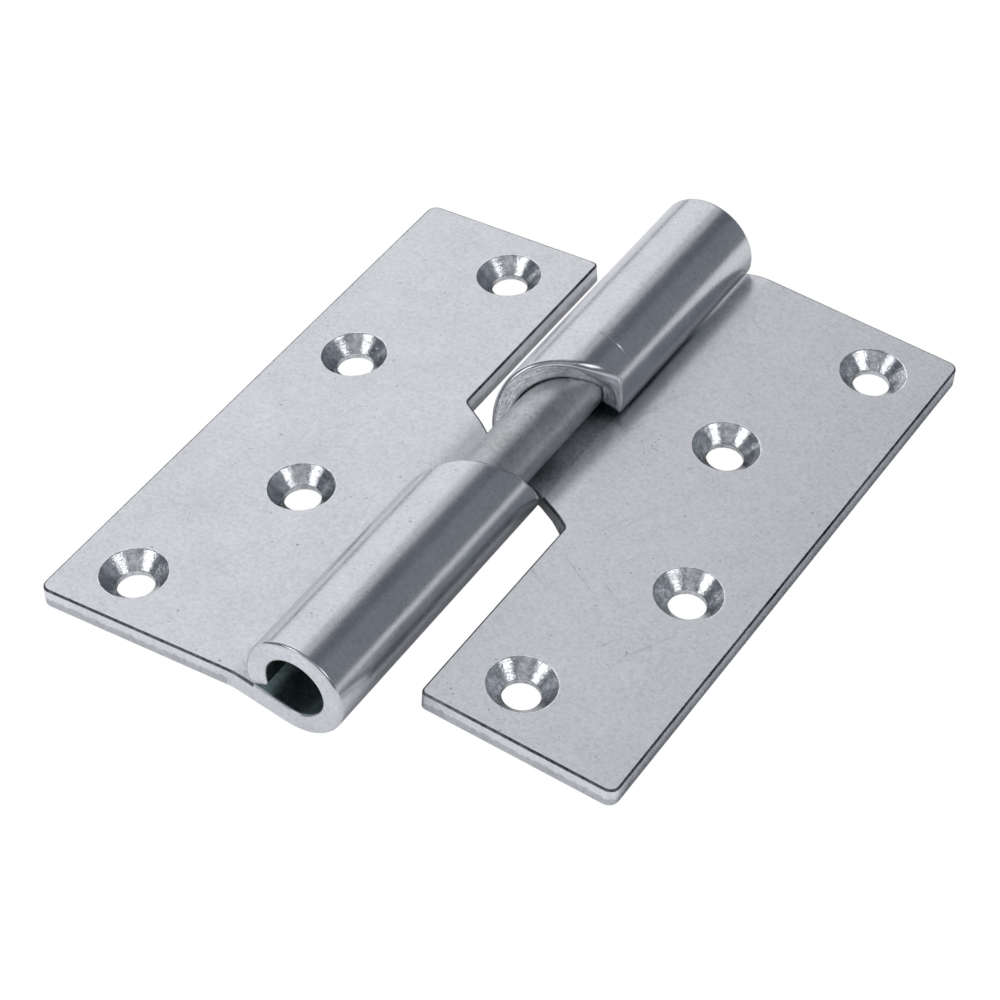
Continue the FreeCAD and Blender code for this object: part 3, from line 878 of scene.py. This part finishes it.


# %% [markdown]
# ## The plain finishes
#
# The flat faces and the pin only differ in how bright and how cloudy they are. The rounded top edge
# of the leaf gets a painted shade line. Inside the roll, a teal tint is darkened by painted shade, as
# little light gets in; the part that lies open between the two knuckles keeps a plain zinc colour.

# %% Finishes of the flat leaf and the pin
zinc = (0.640, 0.650, 0.678)
face = plated("zinc_face", (0.715, 0.722, 0.748), 0.42, cloud=0.105, grain=0.17, specks=0.35, bump=0.3)
plated_face = finish_off(face)
bar = plated("pin_plate", (0.54, 0.55, 0.565), 0.40, cloud=0.22, grain=0.22, specks=0.3, bump=0.4)
pin_plate = finish_off(bar)
# The very dark rim tint is a painted shade line along the leaf's rounded top edge.
rim_painted_shade = plated("dark_rim", (0.13, 0.135, 0.15), 0.35, cloud=0.9, grain=0.9, bump=0.3)
dark_rim = finish_off(rim_painted_shade)
# Inside the roll: a teal tint darkened by painted shade; where the roll lies open between the knuckles it
# steps to a plain zinc colour.
teal_with_shade = Vector((0.22, 0.295, 0.295))
inside_roll = plated("zinc_bore", teal_with_shade, 0.42, cloud=0.25, grain=0.4, specks=0.5, bump=0.5)
along_pin = add(inside_roll["tree"], "ShaderNodeSeparateXYZ", {0: inside_roll["place"]}).outputs["Y"]
mouth = -crest + leaf_shift / 2
from_middle = maths(inside_roll["tree"], "ABSOLUTE", along_pin)
open_to_light = ramp_between(inside_roll["tree"], from_middle, mouth - 1.5 * MM, mouth + 0.5 * MM, 1.0, 0.0)
unshaded_step = Vector((0.60, 0.61, 0.63)) - teal_with_shade
inside_roll["tint"] = add(inside_roll["tree"], "ShaderNodeVectorMath", {
    0: unshaded_step, 1: open_to_light, 2: teal_with_shade}, operation="MULTIPLY_ADD").outputs[0]
bore = finish_off(inside_roll)

# %% [markdown]
# ## The rolled knuckle
#
# The rolling die leaves the outside of the knuckle brighter than the leaf, so its reflections are
# sharper. Fine drag lines run round it, and they comb out the edges of the reflections. Slow waves
# in the metal make the thin reflections wander a little. One score, left when the hinge was put
# together, runs part of the way round the upper knuckle near its ramp: its groove is a bump, and a
# painted highlight brightens it.

# %% Finish of the knuckle
roll = plated("zinc_roll", zinc, 0.235, cloud=0.07, grain=0.13, specks=0.5, bump=0.5, spread=0.03)
drag = noise(roll["tree"], stretched(roll["tree"], roll["place"], (330, 2600, 330)), 1.0, 3)
add_to(roll, "height", drag, 3.0)
add_to(roll, "shade", drag, 0.16)
add_to(roll, "height", noise(roll["tree"], roll["place"], 170, 1), 18.0)
score_y = 20.9 * MM
tree = roll["tree"]
spot = add(tree, "ShaderNodeSeparateXYZ", {0: roll["place"]}).outputs
waver = maths(tree, "MULTIPLY_ADD", noise(tree, roll["place"], 300, 1), 0.6 * MM, -0.3 * MM)
off_line = maths(tree, "ADD", maths(tree, "SUBTRACT", spot["Y"], score_y), waver)
on_line = ramp_between(tree, maths(tree, "ABSOLUTE", off_line), 0.05 * MM, 0.22 * MM, 1.0, 0.0)
upper = ramp_between(tree, spot["Z"], pin_height + 4.8 * MM, pin_height + 6.2 * MM)
right = ramp_between(tree, spot["X"], 0.8 * MM, 2.0 * MM)
score_and_highlight = maths(tree, "MULTIPLY", on_line, maths(tree, "MULTIPLY", upper, right))
add_to(roll, "height", score_and_highlight, -30.0, 0.0)
# Painted highlight along the score: its shade is raised.
add_to(roll, "shade", score_and_highlight, 0.35, 0.0)
plated_roll = finish_off(roll, 0.004 * MM)

# %% [markdown]
# ## The cut faces
#
# A shear cuts cleanly through the first half of the strip and tears the rest, so the edge has a
# clean band and a duller torn one, with a ragged line between them. The knuckle's free end is
# cleaner. The countersinks show the chatter of the drill as bright and dark sectors. The ramp is
# scored, because the two knuckles ride on each other there; its very bright tint and bright streaks
# are painted highlights on those scores.

# %% Finishes of the cut faces
edge = plated("sheared_edge", (0.74, 0.755, 0.79), 0.32, cloud=0.12, grain=0.15, bump=0.4)
torn = tool_streaks(edge, 1.1, 0.8)
marks = add(edge["tree"], "ShaderNodeUVMap", uv_map="tool_marks").outputs[0]
band = add(edge["tree"], "ShaderNodeSeparateXYZ", {0: marks}).outputs["Y"]
ragged = maths(edge["tree"], "SUBTRACT", torn, 0.5)
band = maths(edge["tree"], "MULTIPLY_ADD", ragged, 0.5, band)
torn_part = ramp_between(edge["tree"], band, 0.45, 0.62)
add_to(edge, "shade", torn_part, -0.28, 0.0)
add_to(edge, "rough", torn_part, 0.15, 0.0)
add_to(edge, "height", tool_streaks(edge, 5, 0.6), 2.0)
sheared_edge = finish_off(edge)

end = plated("knuckle_end", (0.70, 0.713, 0.745), 0.36, cloud=0.1, grain=0.2, specks=0.4, bump=0.4)
clean_end = finish_off(end)

sink = plated("countersink", (0.76, 0.78, 0.80), 0.15, cloud=0.1, grain=0.4, specks=0.5, bump=0.6)
chatter = tool_streaks(sink, 17, 1.0)
add_to(sink, "height", chatter, 5.0)
add_to(sink, "height", tool_streaks(sink, 9, 30), 1.5)
add_to(sink, "shade", tool_streaks(sink, 11, 2.5, 3), 1.3)
sink_cut = finish_off(sink, 0.02 * MM)

# The ramp's bright tint and bright streaks are painted highlights over its real scores.
ramp_scores_and_highlights = plated("ramp_end", (0.90, 0.92, 0.94), 0.22, cloud=0.2, grain=0.3, specks=0.4, bump=0.8)
add_to(ramp_scores_and_highlights, "height", tool_streaks(ramp_scores_and_highlights, 0.35, 7, 3), 5.0)
add_to(ramp_scores_and_highlights, "shade", tool_streaks(ramp_scores_and_highlights, 0.5, 6, 3), 1.3)
ramp_end = finish_off(ramp_scores_and_highlights, 0.03 * MM)

# %% [markdown]
# ## Making the three pieces
#
# The rolling tree is built last, because it hands out the finishes. They are listed in the order of
# the finish numbers. Both leaves use the same tree.

# %% The three pieces
finishes = [plated_face, plated_roll, sheared_edge, sink_cut, ramp_end, bore, dark_rim, clean_end]
rolling = rolling_tree(finishes)
pieces = {}
for seed, name in enumerate(("frame_leaf", "door_leaf"), start=1):
    pieces[name] = build_leaf(name, seed, rolling)
pieces["hinge_pin"] = build_pin("pin_bar", pin_plate)

# %% [markdown]
# ## Floor and light
#
# Metal shows what stands round it, so the lamps are placed by what they should look like in the
# knuckle. A large softbox behind and to the left makes the broad band along its top and lights both
# leaves. Two smaller ones, at the front left and at the right, are seen only in the countersinks. The
# rest of the room is dim and a little blue. The floor is plain white; a lamp that metal can't see
# keeps it bright.

# %% Floor and light
def area_light(name, direction, distance, width, height, brightness, colour=(1, 1, 1)):
    """A rectangular lamp that faces the hinge; brightness is how bright it looks, white being 1."""
    data = bpy.data.lights.new(name, "AREA")
    data.shape = "RECTANGLE"
    data.size = width
    data.size_y = height
    data.energy = brightness * math.pi * width * height
    data.color = colour
    light = bpy.data.objects.new(name, data)
    bpy.context.collection.objects.link(light)
    light.location = Vector(direction).normalized() * distance
    light.rotation_mode = "QUATERNION"
    light.rotation_quaternion = aim(light.location, Vector((0, 0, 0)))
    return light


def overhead_panel(name, low, high, near, far, brightness, colour=(1, 1, 1)):
    """A panel seen between two angles round the pin, 0 being right and 90 straight up."""
    middle = math.radians((low + high) / 2)
    distance = 1.0
    width = 2 * distance * math.tan(math.radians(high - low) / 2)
    light = area_light(name, (1, 0, 0), distance, width, far - near, brightness, colour)
    light.location = (distance * math.cos(middle), (near + far) / 2, distance * math.sin(middle))
    light.rotation_mode = "XYZ"
    light.rotation_euler = (0, math.pi / 2 - middle, 0)
    return light


overhead_panel("main_softbox", 101, 172, 0.0, 1.6, 0.84)
overhead_panel("softbox_edge", 84, 101, 0.0, 1.6, 0.45)
overhead_panel("right_wall", 9, 56, 0.2, 1.4, 0.085, (0.9, 0.97, 1.0))
area_light("front_left_softbox", (-0.38, -0.69, 0.6), 1.2, 0.5, 0.5, 1.9)
area_light("right_softbox", (0.77, -0.06, 0.635), 1.2, 0.5, 0.5, 1.9)
area_light("front_fill", (0.33, -0.63, 0.72), 1.3, 0.9, 0.9, 0.3)
area_light("front_card", (0.1, -0.99, 0.12), 1.3, 1.6, 0.3, 1.05)

wash_data = bpy.data.lights.new("floor_wash", "SUN")
wash_data.energy = 2.8
wash_data.angle = math.radians(40)
wash = bpy.data.objects.new("floor_wash", wash_data)
bpy.context.collection.objects.link(wash)
wash.rotation_mode = "QUATERNION"
wash.rotation_quaternion = aim(Vector((-0.48, -0.74, 0.64)), Vector((0, 0, 0)))
wash.visible_glossy = False

world = bpy.data.worlds.new("studio")
bpy.context.scene.world = world
world.use_nodes = True
world.node_tree.nodes["Background"].inputs["Color"].default_value = (0.135, 0.147, 0.17, 1)
world.node_tree.nodes["Background"].inputs["Strength"].default_value = 1.0

floor_half = 3.0
floor_mesh = bpy.data.meshes.new("floor")
floor_corners = [(-floor_half, -floor_half, 0), (floor_half, -floor_half, 0)]
floor_corners += [(floor_half, floor_half, 0), (-floor_half, floor_half, 0)]
floor_mesh.from_pydata(floor_corners, [], [(0, 1, 2, 3)])
floor = bpy.data.objects.new("floor", floor_mesh)
bpy.context.collection.objects.link(floor)
floor_paint = bpy.data.materials.new("floor_paint")
floor_paint.use_nodes = True
floor_tree = floor_paint.node_tree
floor_shader = floor_tree.nodes["Principled BSDF"]
floor_shader.inputs["Base Color"].default_value = (0.85, 0.85, 0.85, 1)
floor_shader.inputs["Roughness"].default_value = 0.9
floor_shader.inputs["Specular IOR Level"].default_value = 0.0
floor_glow = add(floor_tree, "ShaderNodeEmission", {"Color": (1, 1, 1, 1), "Strength": 1.0})
floor_mix = add(floor_tree, "ShaderNodeMixShader", {
    0: add(floor_tree, "ShaderNodeLightPath").outputs["Is Camera Ray"],
    1: floor_shader.outputs[0], 2: floor_glow.outputs[0]})
floor_tree.links.new(floor_mix.outputs[0], floor_tree.nodes["Material Output"].inputs["Surface"])
floor_mesh.materials.append(floor_paint)
bpy.context.scene.view_settings.view_transform = "Standard"

# %% [markdown]
# ## Handing over
#
# Each piece moves with the body of its own name and takes the place of the plain piece there. The
# finished hinge has to stay inside the size of the plain one.

# %% Hand the pieces to the frame
for name, slot in (("frame_leaf", "zinc_leaf"), ("door_leaf", "zinc_leaf"), ("hinge_pin", "zinc_pin")):
    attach(pieces[name], name)
    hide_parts(name)
